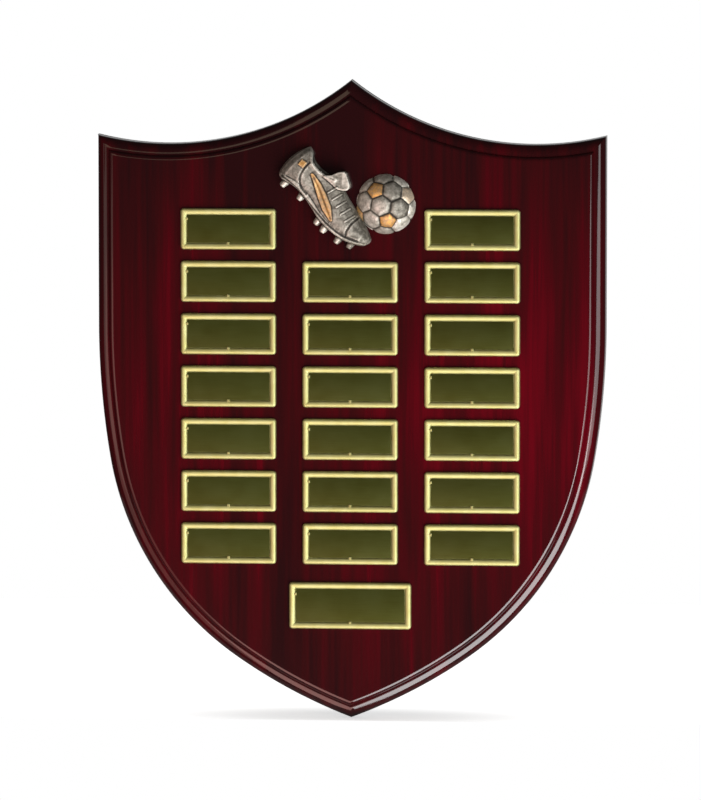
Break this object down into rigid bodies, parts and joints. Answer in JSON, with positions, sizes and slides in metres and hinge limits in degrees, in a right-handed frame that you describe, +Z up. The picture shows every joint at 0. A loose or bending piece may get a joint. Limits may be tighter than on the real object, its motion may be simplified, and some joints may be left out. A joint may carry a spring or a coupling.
{
  "type": "perpetual trophy shield",
  "caption": "Wall-hung lacquered shield with stepped moulding, gold-rimmed winners' plates, a title plate, a cast boot-and-ball relief and a recessed keyhole hanger.",
  "frame": {"origin": "point on the wall where the hanging screw carries the shield, at the top of the keyhole and level with the back face", "axes": "+X to the viewer's right, -Y out of the wall towards the viewer, +Z up"},
  "size_m": [0.318, 0.0314, 0.4],
  "materials": {
    "lacquered_rosewood": "high-gloss clear lacquer over dark red rosewood grain",
    "gold_rim": "bright polished gold",
    "engraving_brass": "dark brushed brass, blank",
    "cast_silver": "antique silver plate with dark recesses and gold details",
    "zinc_steel": "bright zinc plate"
  },
  "bodies": {
    "root": {"shield_board": "lacquered_rosewood", "winner_frame_01": "gold_rim", "winner_plate_01": "engraving_brass", "winner_frame_02": "gold_rim", "winner_plate_02": "engraving_brass", "winner_frame_03": "gold_rim", "winner_plate_03": "engraving_brass", "winner_frame_04": "gold_rim", "winner_plate_04": "engraving_brass", "winner_frame_05": "gold_rim", "winner_plate_05": "engraving_brass", "winner_frame_06": "gold_rim", "winner_plate_06": "engraving_brass", "winner_frame_07": "gold_rim", "winner_plate_07": "engraving_brass", "winner_frame_08": "gold_rim", "winner_plate_08": "engraving_brass", "winner_frame_09": "gold_rim", "winner_plate_09": "engraving_brass", "winner_frame_10": "gold_rim", "winner_plate_10": "engraving_brass", "winner_frame_11": "gold_rim", "winner_plate_11": "engraving_brass", "winner_frame_12": "gold_rim", "winner_plate_12": "engraving_brass", "winner_frame_13": "gold_rim", "winner_plate_13": "engraving_brass", "winner_frame_14": "gold_rim", "winner_plate_14": "engraving_brass", "winner_frame_15": "gold_rim", "winner_plate_15": "engraving_brass", "winner_frame_16": "gold_rim", "winner_plate_16": "engraving_brass", "winner_frame_17": "gold_rim", "winner_plate_17": "engraving_brass", "winner_frame_18": "gold_rim", "winner_plate_18": "engraving_brass", "winner_frame_19": "gold_rim", "winner_plate_19": "engraving_brass", "winner_frame_20": "gold_rim", "winner_plate_20": "engraving_brass", "title_frame": "gold_rim", "title_plate": "engraving_brass", "boot_and_ball_casting": "cast_silver", "keyhole_hanger": "zinc_steel", "hanger_screw_upper": "zinc_steel", "hanger_screw_lower": "zinc_steel"}
  },
  "joints": []
}
